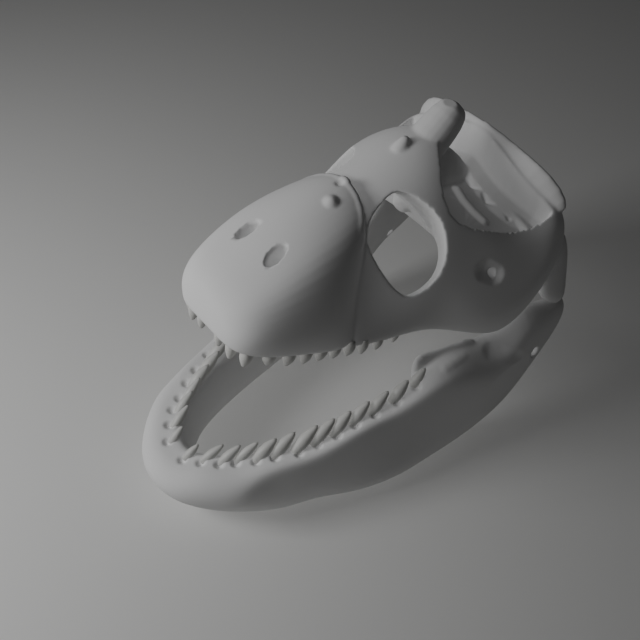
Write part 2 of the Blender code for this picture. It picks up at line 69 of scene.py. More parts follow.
print(len(node_names), "pieces of bone and tooth in the frame")

# %% [markdown]
# Two frames of reference make the skull easy to think about. The lower jaw has its own, with the chin at the
# front and the joint at the back. The upper skull is drawn as it sits with the mouth closed, where its parts
# are level, and is then swung up about the joint. Both are written in fractions of the jaw's length.

# %% Frames and driving sizes
JAW_LENGTH = 1.30  # metres, about the way from the chin to the joint, and one unit of both drawings
GAPE = math.radians(20.4)  # how far the upper skull is swung up from a closed mouth
JAW_TILT = math.radians(7.0)  # sets the jaw's sloping underside level
JOINT = Vector((0.0, 0.93, 0.19))
ROW_SHIFT = Vector((0.0, -0.5544, -0.0338))  # metres, centres the skull and stands it on the floor

jaw_frame = Matrix.Translation(ROW_SHIFT) @ Matrix.Rotation(JAW_TILT, 4, "X") @ Matrix.Scale(JAW_LENGTH, 4)
skull_frame = (jaw_frame @ Matrix.Translation(JOINT) @ Matrix.Rotation(-GAPE, 4, "X")
               @ Matrix.Translation(-JOINT))  # fmt: skip
print("the joint is at", [round(v, 3) for v in jaw_frame @ JOINT])

# %% [markdown]
# The camera comes before the shapes, so that every test render can be laid over the picture. Its place was
# solved from the picture's outline and the jaw's symmetry: it looks down on the snout from the animal's left.

# %% Camera
# The columns of its turn are the camera's right, its up and the way back from what it looks at.
CAMERA_TURN = Matrix((
    (0.6150, -0.5794, 0.5349),
    (0.7880, 0.4269, -0.4436),
    (0.0287, 0.6943, 0.7191),
))  # fmt: skip
CAMERA_PLACE = Vector((1.6312, -1.4010, 2.6545))
LENS_MM = 56.25
SENSOR_MM = 36.0
FAR_CLIP = 100.0  # metres

camera_data = bpy.data.cameras.new("Camera")
camera_data.lens = LENS_MM
camera_data.sensor_width = SENSOR_MM
camera_data.clip_end = FAR_CLIP
camera = bpy.data.objects.new("Camera", camera_data)
bpy.context.scene.collection.objects.link(camera)
camera.matrix_world = Matrix.Translation(CAMERA_PLACE) @ CAMERA_TURN.to_4x4()
bpy.context.scene.camera = camera
print("camera", [round(v, 2) for v in CAMERA_PLACE], "looks", [round(-v, 2) for v in CAMERA_TURN.col[2]])


# %% [markdown]
# Three small tools make all the bone. A loft joins rings of points into a closed cage, a bar is a loft of
# ovals along a line, and a weld melts overlapping shapes into one skin. Subdivision rounds most cages first.

# %% Lofts and bars
BAR_SIDES = 10


def object_of(name, shape):
    mesh = bpy.data.meshes.new(name)
    shape.to_mesh(mesh)
    shape.free()
    obj = bpy.data.objects.new(name, mesh)
    bpy.context.scene.collection.objects.link(obj)
    return obj


def loft(name, rings):
    """A closed cage through rings that all have the same number of points."""
    cage = bmesh.new()
    loops = [[cage.verts.new(Vector(p)) for p in ring] for ring in rings]
    for here, there in zip(loops, loops[1:]):
        for i in range(len(here)):
            j = (i + 1) % len(here)
            cage.faces.new((here[i], here[j], there[j], there[i]))
    cage.faces.new(loops[0])
    cage.faces.new(list(reversed(loops[-1])))
    bmesh.ops.recalc_face_normals(cage, faces=cage.faces)
    return object_of(name, cage)


def bar(name, stops, up=(0.0, 0.0, 1.0)):
    """A loft of ovals along a line. Each stop is its centre, its half width and its half height."""
    centres = [Vector(stop[0]) for stop in stops]
    rings = []
    for i, (centre, across, tall) in enumerate(stops):
        along = (centres[min(i + 1, len(stops) - 1)] - centres[max(i - 1, 0)]).normalized()
        side = along.cross(Vector(up)).normalized()
        top = side.cross(along)
        turns = [2.0 * math.pi * (k + 0.5) / BAR_SIDES for k in range(BAR_SIDES)]
        rings.append([Vector(centre) + side * math.cos(t) * across + top * math.sin(t) * tall for t in turns])
    return loft(name, rings)


# %% Settling, mirroring and welding
CAGE_LEVELS, BAR_LEVELS = 2, 1  # how many times subdivision rounds a wide loft, and a bar


def settle(obj):
    """Gives the object the mesh that its modifiers make, and drops the modifiers."""
    graph = bpy.context.evaluated_depsgraph_get()
    mesh = bpy.data.meshes.new_from_object(obj.evaluated_get(graph))
    obj.modifiers.clear()
    obj.data = mesh
    return obj


def rounded(obj, levels):
    smooth = obj.modifiers.new("Rounded", "SUBSURF")
    smooth.levels = smooth.render_levels = levels
    return settle(obj)


def mirrored_copy(obj):
    twin = obj.copy()
    twin.data = obj.data.copy()
    bpy.context.scene.collection.objects.link(twin)
    twin.data.transform(Matrix.Scale(-1.0, 4, (1.0, 0.0, 0.0)))
    twin.data.flip_normals()
    return twin


def both_sides(obj):
    return [obj, mirrored_copy(obj)]


def mirrored(points):
    return [(-x, y, z) for x, y, z in points]


def join(name, pieces):
    whole = bmesh.new()
    for piece in pieces:
        whole.from_mesh(piece.data)
        bpy.data.objects.remove(piece, do_unlink=True)
    return object_of(name, whole)


def weld(obj, size, rounds=0):
    """One skin round all the shapes in the object, of squares with a size in metres, softened in rounds."""
    skin = obj.modifiers.new("Skin", "REMESH")
    skin.mode = "VOXEL"
    skin.voxel_size = size / JAW_LENGTH
    if rounds:
        smooth = obj.modifiers.new("Softened", "SMOOTH")
        smooth.factor = 0.5
        smooth.iterations = rounds
    return settle(obj)


def carve(obj, cutters):
    """Cuts the cutters out of the object and removes them."""
    for cutter in cutters:
        trim = obj.modifiers.new("Carved", "BOOLEAN")
        trim.operation = "DIFFERENCE"
        trim.solver = "MANIFOLD"
        trim.object = cutter
    settle(obj)
    for cutter in cutters:
        bpy.data.objects.remove(cutter, do_unlink=True)
    return obj


# %% [markdown]
# The lower jaw is a U. Its tooth line is drawn first, seen from above, and at each station along it a section
# is set square to the line: narrow and upright at the rim, bulging outward low down at the chin, and rising
# to a crest behind the teeth before it falls to the joint.

# %% Lower jaw: the tooth line and its sections
# The tooth line, from the middle of the chin to behind the joint.
JAW_LINE = [
    (0.000, 0.000), (0.036, 0.008), (0.072, 0.032), (0.101, 0.062), (0.129, 0.098), (0.151, 0.142),
    (0.168, 0.190), (0.183, 0.245), (0.197, 0.310), (0.208, 0.380), (0.220, 0.450), (0.232, 0.520),
    (0.243, 0.600), (0.250, 0.680), (0.256, 0.760), (0.260, 0.840), (0.262, 0.915), (0.262, 0.980),
]  # fmt: skip
# The sections, each a ring of points: how far outward from the tooth line, how far up from the jaw's base.
CHIN = [(-0.018, 0.010), (-0.042, 0.080), (-0.040, 0.150), (-0.024, 0.188), (0.012, 0.186),
        (0.036, 0.190), (0.074, 0.170), (0.084, 0.125), (0.050, 0.060), (0.016, 0.010)]  # fmt: skip
FRONT = [(-0.018, 0.010), (-0.042, 0.080), (-0.040, 0.160), (-0.024, 0.198), (0.012, 0.196),
         (0.036, 0.200), (0.068, 0.180), (0.076, 0.125), (0.046, 0.055), (0.012, 0.006)]  # fmt: skip
CANINE = [(-0.022, 0.010), (-0.044, 0.090), (-0.040, 0.170), (-0.024, 0.204), (0.010, 0.204),
          (0.030, 0.210), (0.046, 0.196), (0.060, 0.120), (0.052, 0.052), (0.014, 0.002)]  # fmt: skip
MIDDLE = [(-0.024, 0.010), (-0.044, 0.100), (-0.040, 0.190), (-0.024, 0.222), (0.010, 0.222),
          (0.030, 0.228), (0.043, 0.212), (0.060, 0.130), (0.080, 0.050), (0.024, -0.005)]  # fmt: skip
DEEP = [(-0.022, 0.010), (-0.044, 0.105), (-0.040, 0.205), (-0.024, 0.240), (0.010, 0.240),
        (0.030, 0.244), (0.043, 0.228), (0.064, 0.130), (0.094, 0.050), (0.028, -0.005)]  # fmt: skip
LAST_TEETH = [(-0.020, 0.010), (-0.042, 0.110), (-0.040, 0.210), (-0.024, 0.264), (0.010, 0.268),
              (0.030, 0.270), (0.043, 0.254), (0.060, 0.140), (0.076, 0.045), (0.022, -0.005)]  # fmt: skip
RISING = [(-0.018, 0.020), (-0.036, 0.130), (-0.044, 0.240), (-0.034, 0.318), (-0.004, 0.316),
          (0.030, 0.306), (0.047, 0.288), (0.058, 0.150), (0.064, 0.045), (0.020, 0.000)]  # fmt: skip
CREST = [(-0.014, 0.080), (-0.032, 0.160), (-0.040, 0.272), (-0.034, 0.324), (-0.004, 0.322),
         (0.030, 0.288), (0.061, 0.256), (0.059, 0.150), (0.058, 0.060), (0.028, 0.030)]  # fmt: skip
SADDLE = [(-0.010, 0.150), (-0.030, 0.200), (-0.034, 0.270), (-0.028, 0.308), (-0.002, 0.306),
          (0.028, 0.274), (0.058, 0.240), (0.060, 0.160), (0.056, 0.096), (0.032, 0.086)]  # fmt: skip
BEHIND = [(-0.008, 0.215), (-0.024, 0.242), (-0.026, 0.310), (-0.018, 0.386), (0.002, 0.392),
          (0.022, 0.362), (0.044, 0.328), (0.050, 0.228), (0.046, 0.164), (0.028, 0.158)]  # fmt: skip
JOINT_END = [(-0.014, 0.240), (-0.024, 0.262), (-0.024, 0.300), (-0.014, 0.342), (0.010, 0.346),
             (0.030, 0.336), (0.042, 0.306), (0.042, 0.264), (0.036, 0.228), (0.014, 0.222)]  # fmt: skip
HEEL = [(-0.012, 0.290), (-0.020, 0.305), (-0.020, 0.330), (-0.010, 0.350), (0.006, 0.352),
        (0.018, 0.344), (0.026, 0.326), (0.026, 0.304), (0.020, 0.284), (0.008, 0.280)]  # fmt: skip
JAW_SECTIONS = [CHIN, CHIN, FRONT, FRONT, FRONT, CANINE, CANINE, CANINE, MIDDLE, DEEP, DEEP, LAST_TEETH,
                RISING, CREST, SADDLE, BEHIND, JOINT_END, HEEL]  # fmt: skip
BASE_AT_CHIN, BASE_FALL = 0.020, 0.123


def jaw_base(y):
    return BASE_AT_CHIN - BASE_FALL * y


def jaw_ring(i):
    """The section at a station, never past the middle of the skull."""
    before = Vector(JAW_LINE[max(i - 1, 0)])
    after = Vector(JAW_LINE[min(i + 1, len(JAW_LINE) - 1)])
    along = (after - before).normalized()
    out = Vector((along.y, -along.x)) if i else Vector((0.0, -1.0))
    x, y = JAW_LINE[i]
    return [(max(0.0, x + out.x * outward), y + out.y * outward, jaw_base(y) + up)
            for outward, up in JAW_SECTIONS[i]]  # fmt: skip


left_rings = [jaw_ring(i) for i in range(1, len(JAW_LINE))]
right_rings = [mirrored(ring) for ring in reversed(left_rings)]
jaw_body = rounded(loft("jaw_body", right_rings + [jaw_ring(0)] + left_rings), CAGE_LEVELS)
print("the jaw's rounded cage has", len(jaw_body.data.polygons), "faces")

# %% [markdown]
# Behind the teeth a thin blade stands inside each half of the jaw, and near the joint a small window goes
# through the wall. The blade is welded on, and the window is carved between two welds, so that its edge is
# soft too.

# %% Lower jaw: the blades behind the teeth, and one skin
SKIN_SIZE = 0.0045  # metres, how fine the bone's skin is
SOFTEN_ROUNDS = 6
BLADE = [
    ((0.194, 0.543, 0.228), 0.013, 0.060), ((0.203, 0.585, 0.222), 0.015, 0.054),
    ((0.220, 0.645, 0.222), 0.016, 0.054), ((0.240, 0.720, 0.225), 0.016, 0.045),
]  # fmt: skip
JAW_WINDOW = [((0.18, 0.852, 0.150), 0.013, 0.016), ((0.36, 0.852, 0.150), 0.013, 0.016)]

blade = rounded(bar("blade", BLADE), BAR_LEVELS)
window = bar("jaw_window", JAW_WINDOW)
mandible = weld(join("mandible", [jaw_body] + both_sides(blade)), SKIN_SIZE)
mandible = weld(carve(mandible, both_sides(window)), SKIN_SIZE, SOFTEN_ROUNDS)
print("the lower jaw's skin has", len(mandible.data.polygons), "faces")


# %% [markdown]
# The upper skull has two masses: the smooth bulb of the snout, and the face behind it, which is narrower
# where it meets the snout and widens to the cheeks. Each is a loft of arches, drawn for one side and
# mirrored. A third loft is the hollow underneath, which is carved away.

# %% Upper skull: the snout
def arch(y, half):
    """A ring across the skull from its left half. A point is x and z, and how far it is pulled back."""
    points = [(p[0], y + (p[2] if len(p) > 2 else 0.0), p[1]) for p in half]
    return points + mirrored(reversed(points[1:-1]))


# Each row: y, foot height, foot half width, side point, shoulder point, top height.
SNOUT = [
    (0.062, 0.262, 0.055, (0.068, 0.290, 0.0), (0.050, 0.312), 0.322),
    (0.074, 0.245, 0.092, (0.110, 0.290, 0.0), (0.088, 0.332), 0.350),
    (0.098, 0.236, 0.115, (0.138, 0.295, 0.0), (0.110, 0.356), 0.376),
    (0.135, 0.233, 0.136, (0.158, 0.300, 0.0), (0.124, 0.380), 0.406),
    (0.180, 0.233, 0.153, (0.173, 0.308, 0.0), (0.132, 0.408), 0.442),
    (0.235, 0.233, 0.168, (0.186, 0.315, 0.0), (0.138, 0.434), 0.482),
    (0.295, 0.233, 0.183, (0.190, 0.318, -0.010), (0.138, 0.450), 0.518),
    (0.345, 0.234, 0.184, (0.172, 0.322, -0.030), (0.130, 0.464), 0.540),
    (0.378, 0.238, 0.172, (0.148, 0.330, -0.040), (0.120, 0.474), 0.549),
    (0.392, 0.242, 0.150, (0.130, 0.332, -0.046), (0.110, 0.472), 0.546),
]
FOOT_INNER = 0.6  # of the foot's half width
LIP_OUT, LIP_UP = 0.008, 0.022
SHOULDER_PULL = 0.5  # of the pull on the points below it
UPPER_ACROSS, UPPER_RISE = 0.55, 0.65  # where the point between the shoulder and the top lies


def snout_ring(y, foot_z, foot_x, side, shoulder, top):
    pull = side[2]
    half = [
        (0.0, foot_z, pull), (FOOT_INNER * foot_x, foot_z, pull), (foot_x, foot_z, pull),
        (foot_x + LIP_OUT, foot_z + LIP_UP, pull), side, shoulder + (SHOULDER_PULL * pull,),
        (UPPER_ACROSS * shoulder[0], (1.0 - UPPER_RISE) * shoulder[1] + UPPER_RISE * top), (0.0, top),
    ]  # fmt: skip
    return arch(y, half)


snout = rounded(loft("snout", [snout_ring(*row) for row in SNOUT]), CAGE_LEVELS)
print("the snout's rounded cage has", len(snout.data.polygons), "faces")

# %% Upper skull: the face behind the snout
# Each row: y, then the points from the middle of the foot, round the cheek, to the middle of the top.
FACE = [
    (0.300, [(0.0, 0.238), (0.140, 0.236), (0.186, 0.232), (0.168, 0.282), (0.144, 0.350),
             (0.126, 0.400), (0.098, 0.432), (0.060, 0.458), (0.0, 0.474)]),
    (0.350, [(0.0, 0.238), (0.152, 0.236), (0.206, 0.230), (0.174, 0.285), (0.144, 0.350),
             (0.126, 0.408), (0.096, 0.456), (0.058, 0.486), (0.0, 0.500)]),
    (0.410, [(0.0, 0.240), (0.166, 0.238), (0.216, 0.232), (0.190, 0.300), (0.166, 0.365),
             (0.142, 0.425), (0.104, 0.486), (0.058, 0.518), (0.0, 0.532)]),
    (0.470, [(0.0, 0.248), (0.176, 0.246), (0.222, 0.242), (0.216, 0.305), (0.202, 0.370),
             (0.170, 0.445), (0.112, 0.522), (0.062, 0.558), (0.0, 0.574)]),
    (0.530, [(0.0, 0.245), (0.188, 0.245), (0.228, 0.242), (0.234, 0.305), (0.224, 0.375),
             (0.186, 0.460), (0.128, 0.546), (0.070, 0.592), (0.0, 0.612)]),
    (0.590, [(0.0, 0.232), (0.206, 0.232), (0.244, 0.230), (0.268, 0.300), (0.244, 0.370),
             (0.206, 0.450), (0.152, 0.534), (0.080, 0.608), (0.0, 0.636)]),
    (0.650, [(0.0, 0.218), (0.228, 0.218), (0.264, 0.216), (0.292, 0.285), (0.262, 0.370),
             (0.230, 0.440), (0.185, 0.500), (0.090, 0.600), (0.0, 0.640)]),
    (0.710, [(0.0, 0.206), (0.246, 0.206), (0.284, 0.204), (0.304, 0.300), (0.278, 0.370),
             (0.250, 0.432), (0.208, 0.478), (0.095, 0.585), (0.0, 0.625)]),
    (0.770, [(0.0, 0.230), (0.246, 0.230), (0.282, 0.228), (0.308, 0.335), (0.284, 0.395),
             (0.258, 0.440), (0.230, 0.486), (0.110, 0.575), (0.0, 0.605)]),
    (0.820, [(0.0, 0.292), (0.236, 0.292), (0.272, 0.290), (0.294, 0.375), (0.284, 0.425),
             (0.266, 0.465), (0.246, 0.512), (0.120, 0.575), (0.0, 0.600)]),
    (0.858, [(0.0, 0.325), (0.220, 0.325), (0.256, 0.325), (0.276, 0.385), (0.274, 0.425),
             (0.262, 0.465), (0.242, 0.508), (0.120, 0.550), (0.0, 0.570)]),
    (0.878, [(0.0, 0.350), (0.190, 0.350), (0.226, 0.350), (0.244, 0.380), (0.246, 0.415),
             (0.240, 0.450), (0.214, 0.482), (0.110, 0.505), (0.0, 0.515)]),
]  # fmt: skip
face = rounded(loft("face", [arch(y, half) for y, half in FACE]), CAGE_LEVELS)
print("the face's rounded cage has", len(face.data.polygons), "faces")

# %% Upper skull: the hollow underneath
VAULT = [
    (0.115, [(0.0, 0.100), (0.050, 0.100), (0.058, 0.200), (0.056, 0.250), (0.040, 0.270), (0.0, 0.275)]),
    (0.160, [(0.0, 0.100), (0.085, 0.100), (0.094, 0.200), (0.092, 0.260), (0.070, 0.300), (0.0, 0.312)]),
    (0.230, [(0.0, 0.100), (0.118, 0.100), (0.126, 0.200), (0.124, 0.275), (0.095, 0.335), (0.0, 0.352)]),
    (0.300, [(0.0, 0.100), (0.132, 0.100), (0.140, 0.200), (0.130, 0.290), (0.105, 0.370), (0.0, 0.392)]),
    (0.370, [(0.0, 0.100), (0.145, 0.100), (0.152, 0.200), (0.128, 0.310), (0.090, 0.425), (0.0, 0.450)]),
    (0.440, [(0.0, 0.100), (0.160, 0.100), (0.168, 0.220), (0.158, 0.340), (0.095, 0.475), (0.0, 0.505)]),
    (0.510, [(0.0, 0.100), (0.180, 0.100), (0.190, 0.220), (0.184, 0.355), (0.115, 0.500), (0.0, 0.535)]),
    (0.580, [(0.0, 0.100), (0.200, 0.100), (0.208, 0.220), (0.200, 0.345), (0.128, 0.430), (0.0, 0.445)]),
    (0.640, [(0.0, 0.100), (0.220, 0.100), (0.226, 0.220), (0.215, 0.325), (0.150, 0.365), (0.0, 0.368)]),
    (0.720, [(0.0, 0.100), (0.238, 0.100), (0.243, 0.220), (0.226, 0.318), (0.150, 0.345), (0.0, 0.345)]),
    (0.800, [(0.0, 0.100), (0.240, 0.100), (0.243, 0.220), (0.226, 0.325), (0.150, 0.350), (0.0, 0.350)]),
    (0.920, [(0.0, 0.100), (0.240, 0.100), (0.243, 0.220), (0.226, 0.325), (0.150, 0.350), (0.0, 0.350)]),
]
vault = rounded(loft("vault", [arch(y, half) for y, half in VAULT]), CAGE_LEVELS)
print("the hollow's cutter is", round(vault.dimensions.y * JAW_LENGTH, 2), "m long")

# %% [markdown]
# The eye opening is a closed curve on the side of the face, pushed straight through the wall. The big hollow
# on top, behind the brow, is carved by slices with a front edge, a rear edge and a floor that rises at both.

# %% Upper skull: the eye opening and the hollow on top
ORBIT_RIM = [
    (0.124, 0.360, 0.484), (0.098, 0.386, 0.508), (0.085, 0.434, 0.541), (0.098, 0.466, 0.549),
    (0.145, 0.508, 0.525), (0.176, 0.528, 0.486), (0.200, 0.528, 0.430), (0.207, 0.504, 0.380),
    (0.196, 0.458, 0.348), (0.176, 0.424, 0.364), (0.148, 0.388, 0.412), (0.138, 0.360, 0.461),
]  # fmt: skip
ORBIT_WAY = Vector((0.66, -0.50, 0.56)).normalized()
ORBIT_OUT, ORBIT_IN = 0.12, 0.09  # how far its cutter reaches to each side of the curve
RIM_STEPS = 4
# Each slice of the hollow: x, the front edge's y and the rear edge's y.
FOSSA_EDGE = [
    (0.000, 0.604, 0.782), (0.030, 0.594, 0.780), (0.056, 0.580, 0.776), (0.083, 0.566, 0.776),
    (0.107, 0.554, 0.778), (0.130, 0.550, 0.782), (0.152, 0.556, 0.788), (0.170, 0.574, 0.794),
    (0.185, 0.602, 0.800), (0.197, 0.638, 0.806), (0.213, 0.693, 0.812), (0.227, 0.749, 0.818),
    (0.234, 0.790, 0.820),
]  # fmt: skip
FOSSA_TOP = 0.80
FLOOR_MIDDLE, FLOOR_FALL = 0.498, 0.28
FLOOR_EDGE_RISE = 0.03
FLOOR_EDGE_SHARE = 0.2  # of the slice's length


def smooth_ring(points, steps):
    """A closed curve through the points."""
    count = len(points)
    curve = []
    for i in range(count):
        a, b, c, d = (Vector(points[(i + k) % count]) for k in (-1, 0, 1, 2))
        for k in range(steps):
            t = k / steps
            curve.append(0.5 * (2 * b + (c - a) * t + (2 * a - 5 * b + 4 * c - d) * t * t
                                + (3 * b - a - 3 * c + d) * t ** 3))  # fmt: skip
    return curve


def fossa_slice(x, front, rear):
    floor = FLOOR_MIDDLE - FLOOR_FALL * abs(x)
    foot = FLOOR_EDGE_SHARE * (rear - front)
    return [(x, front, FOSSA_TOP), (x, front, floor + FLOOR_EDGE_RISE), (x, front + foot, floor),
            (x, rear - foot, floor), (x, rear, floor + FLOOR_EDGE_RISE), (x, rear, FOSSA_TOP)]  # fmt: skip


rim = smooth_ring(ORBIT_RIM, RIM_STEPS)
orbit = loft("orbit", [[p + ORBIT_WAY * ORBIT_OUT for p in rim], [p - ORBIT_WAY * ORBIT_IN for p in rim]])
left_slices = [fossa_slice(*edge) for edge in FOSSA_EDGE]
right_slices = [mirrored(ring) for ring in reversed(left_slices[1:])]
fossa = loft("fossa", right_slices + left_slices)
print("the eye opening's curve has", len(rim), "points")

# %% Upper skull: the hollowed hull
HULL_SIZE = 0.006  # metres, coarser than the last skin, which is welded over it
hull = weld(join("hull", [snout, face]), HULL_SIZE)
carve(hull, [vault, fossa] + both_sides(orbit))
print("the hollowed hull has", len(hull.data.polygons), "faces")


# %% [markdown]
# The crest across the back, the knob and the little horn on the midline, the limbs that carry the jaw joint
# and the ball for the neck are bars, added before the last weld so that they grow out of the bone.

# %% Upper skull: crest, knob, horn, joint limbs and neck ball
CREST_LINE = [
    ((0.0, 0.794, 0.586), 0.011, 0.030), ((0.100, 0.794, 0.575), 0.011, 0.030),
    ((0.156, 0.802, 0.563), 0.011, 0.032), ((0.208, 0.828, 0.534), 0.012, 0.032),
    ((0.238, 0.850, 0.492), 0.011, 0.022),
]  # fmt: skip
far_crest = [((-x, y, z), across, tall) for (x, y, z), across, tall in reversed(CREST_LINE[1:])]
KNOB = [
    ((0.0, 0.560, 0.545), 0.056, 0.046), ((0.0, 0.610, 0.604), 0.050, 0.048),
    ((0.0, 0.644, 0.648), 0.046, 0.044), ((0.0, 0.668, 0.679), 0.030, 0.030),
]  # fmt: skip
MOUND = [
    ((0.0, 0.560, 0.520), 0.052, 0.050), ((0.0, 0.650, 0.530), 0.050, 0.062),
    ((0.0, 0.710, 0.505), 0.046, 0.040), ((0.0, 0.765, 0.480), 0.024, 0.020),
]  # fmt: skip
HORN = [((0.0, 0.512, 0.566), 0.028, 0.028), ((0.0, 0.525, 0.603), 0.017, 0.017),
        ((0.0, 0.533, 0.619), 0.008, 0.008)]  # fmt: skip
NECK_BALL = [
    ((0.0, 0.840, 0.405), 0.040, 0.040), ((0.0, 0.885, 0.390), 0.034, 0.032),
    ((0.0, 0.915, 0.380), 0.034, 0.030), ((0.0, 0.930, 0.375), 0.018, 0.016),
]  # fmt: skip
FRONT_LUMP = [((0.0, 0.620, 0.470), 0.040, 0.040), ((0.0, 0.585, 0.440), 0.034, 0.030),
              ((0.0, 0.565, 0.425), 0.018, 0.016)]  # fmt: skip
QUADRATE = [
    ((0.236, 0.845, 0.450), 0.020, 0.032), ((0.252, 0.860, 0.400), 0.022, 0.046),
    ((0.260, 0.870, 0.350), 0.022, 0.052), ((0.266, 0.888, 0.300), 0.024, 0.048),
    ((0.268, 0.912, 0.268), 0.030, 0.030), ((0.268, 0.920, 0.252), 0.018, 0.016),
]  # fmt: skip
midline_limbs = [("crest", far_crest + CREST_LINE), ("knob", KNOB), ("mound", MOUND), ("horn", HORN),
                 ("neck_ball", NECK_BALL), ("front_lump", FRONT_LUMP)]  # fmt: skip
limbs = [rounded(bar(name, stops), BAR_LEVELS) for name, stops in midline_limbs]
limbs += both_sides(rounded(bar("quadrate", QUADRATE, up=(0.0, 1.0, 0.0)), BAR_LEVELS))
cranium = weld(join("cranium", [hull] + limbs), SKIN_SIZE, SOFTEN_ROUNDS)
print("the upper skull's skin has", len(cranium.data.polygons), "faces")

# %% [markdown]
# Small marks are pressed into the skin or raised from it, the way a thumb or a loop tool works clay. Each
# mark is a line of points, a reach and a depth, and the skin moves along its own normals, most at the line
# itself.

# %% The pressing tool
TINY = 1e-12


def distance_to(points, path):
    """How far each point is from a line of points."""
    nearest = np.full(len(points), np.inf)
    stops = [np.array(p, float) for p in path]
    for start, end in zip(stops, stops[1:] or stops):
        run = end - start
        length_squared = max(float(run @ run), TINY)  # a path of one point has no length
        share = np.clip((points - start) @ run / length_squared, 0.0, 1.0)
        nearest = np.minimum(nearest, np.linalg.norm(points - start - share[:, None] * run, axis=1))
    return nearest


def skin_points(obj):
    points = np.empty(len(obj.data.vertices) * 3, np.float32)
    obj.data.vertices.foreach_get("co", points)
    return points.reshape(-1, 3)


def move_skin(obj, points):
    obj.data.vertices.foreach_set("co", points.astype(np.float32).ravel())
    obj.data.update()


def press(obj, path, reach, depth):
    """Moves skin near the line inward by depth, or outward if depth is negative."""
    points = skin_points(obj).astype(float)
    span = reach + np.ptp(path, axis=0).max()
    near = np.nonzero(np.abs(points - np.mean(path, axis=0)).max(1) < span)[0]
    fade = 1.0 - np.clip(distance_to(points[near], path) / reach, 0.0, 1.0) ** 2.0
    normals = np.empty(len(points) * 3, np.float32)
    obj.data.vertex_normals.foreach_get("vector", normals)
    normals = normals.reshape(-1, 3)[near].astype(float)
    points[near] -= normals * (fade * fade * depth)[:, None]
    move_skin(obj, points)


def press_both(obj, path, reach, depth):
    press(obj, path, reach, depth)
    press(obj, mirrored(path), reach, depth)


# %% [markdown]
# A nostril is a slanting pit, so its cutter is a bar that narrows as it goes down into the snout. The small
# hole in the cheek is a short straight pit, cut the same way. The skin round it is dimpled first, because
# bone sinks gently towards such a hole.

# %% Upper skull: nostrils and cheek holes
NARIS = [((0.054, 0.142, 0.474), 0.019, 0.038), ((0.048, 0.190, 0.418), 0.017, 0.030),
         ((0.042, 0.216, 0.392), 0.010, 0.016)]  # fmt: skip
CHEEK_HOLE = [((0.222, 0.650, 0.388), 0.010, 0.012), ((0.320, 0.652, 0.394), 0.012, 0.014)]
CHEEK_DIMPLE = ([(0.244, 0.628, 0.400), (0.260, 0.650, 0.392)], 0.030, 0.009)

naris = bar("naris", NARIS)
cheek_hole = bar("cheek_hole", CHEEK_HOLE)
press_both(cranium, *CHEEK_DIMPLE)
carve(cranium, both_sides(naris) + both_sides(cheek_hole))
print("with its small holes the upper skull has", len(cranium.data.polygons), "faces")


# %% [markdown]
# The rows of teeth are written down before the last marks, because a pit is pressed beside each lower tooth.
# A tooth is given by its neck, where it leaves the bone, its tip and its half width.

# %% The rows of teeth: neck, tip and half width
LOWER_TEETH = [
    ((0.030, 0.017, 0.207), (0.033, 0.045, 0.228), 0.010),
    ((0.063, 0.044, 0.206), (0.073, 0.088, 0.231), 0.011),
    ((0.092, 0.072, 0.203), (0.100, 0.116, 0.232), 0.012),
    ((0.110, 0.103, 0.201), (0.120, 0.151, 0.233), 0.012),
    ((0.134, 0.138, 0.199), (0.139, 0.188, 0.234), 0.015),
    ((0.151, 0.175, 0.199), (0.154, 0.230, 0.236), 0.015),
    ((0.174, 0.221, 0.201), (0.174, 0.280, 0.238), 0.015),
    ((0.185, 0.264, 0.203), (0.186, 0.320, 0.240), 0.015),
    ((0.196, 0.312, 0.206), (0.195, 0.360, 0.242), 0.015),
    ((0.203, 0.361, 0.209), (0.204, 0.408, 0.245), 0.014),
    ((0.211, 0.413, 0.212), (0.213, 0.458, 0.249), 0.014),
    ((0.220, 0.472, 0.216), (0.222, 0.510, 0.254), 0.014),
    ((0.222, 0.530, 0.221), (0.225, 0.560, 0.259), 0.013),
]
UPPER_TEETH = [
    ((0.032, 0.091, 0.244), (0.032, 0.095, 0.209), 0.013),
    ((0.070, 0.095, 0.242), (0.070, 0.099, 0.203), 0.014),
    ((0.103, 0.110, 0.240), (0.102, 0.115, 0.199), 0.015),
    ((0.126, 0.152, 0.239), (0.123, 0.158, 0.200), 0.015),
    ((0.142, 0.193, 0.239), (0.141, 0.198, 0.202), 0.015),
    ((0.154, 0.229, 0.239), (0.153, 0.234, 0.204), 0.014),
    ((0.163, 0.263, 0.239), (0.162, 0.268, 0.206), 0.014),
    ((0.171, 0.296, 0.239), (0.170, 0.300, 0.208), 0.013),
    ((0.179, 0.330, 0.239), (0.178, 0.334, 0.209), 0.013),
    ((0.186, 0.363, 0.240), (0.186, 0.367, 0.211), 0.012),
    ((0.191, 0.402, 0.240), (0.191, 0.406, 0.213), 0.012),
    ((0.193, 0.450, 0.246), (0.193, 0.455, 0.219), 0.011),
]
print(2 * len(LOWER_TEETH), "lower and", 2 * len(UPPER_TEETH), "upper teeth are to come")

# %% [markdown]
# Now the marks that a sculptor leaves last. The lower jaw gets a pit at the outer side of each tooth, a
# groove in the chin, a dent in its rear wall and a swelling on its rim behind the teeth.

# %% Small marks pressed into the lower jaw
PIT_REACH, PIT_DEPTH = 0.015, 0.012
PIT_OUT, PIT_FORWARD, PIT_UP = 0.014, 0.004, 0.004  # from the tooth's neck
FAN_MIDDLE = 0.25  # y of the point from which the front pits fan out
CHIN_GROOVE = ([(0.0, -0.075, 0.130), (0.0, -0.070, 0.060)], 0.024, 0.010)
WALL_DENT = ([(0.262, 0.730, 0.215), (0.290, 0.790, 0.180)], 0.030, 0.008)
RIM_SWELLING = ([(0.255, 0.600, 0.262), (0.262, 0.660, 0.262)], 0.022, -0.006)

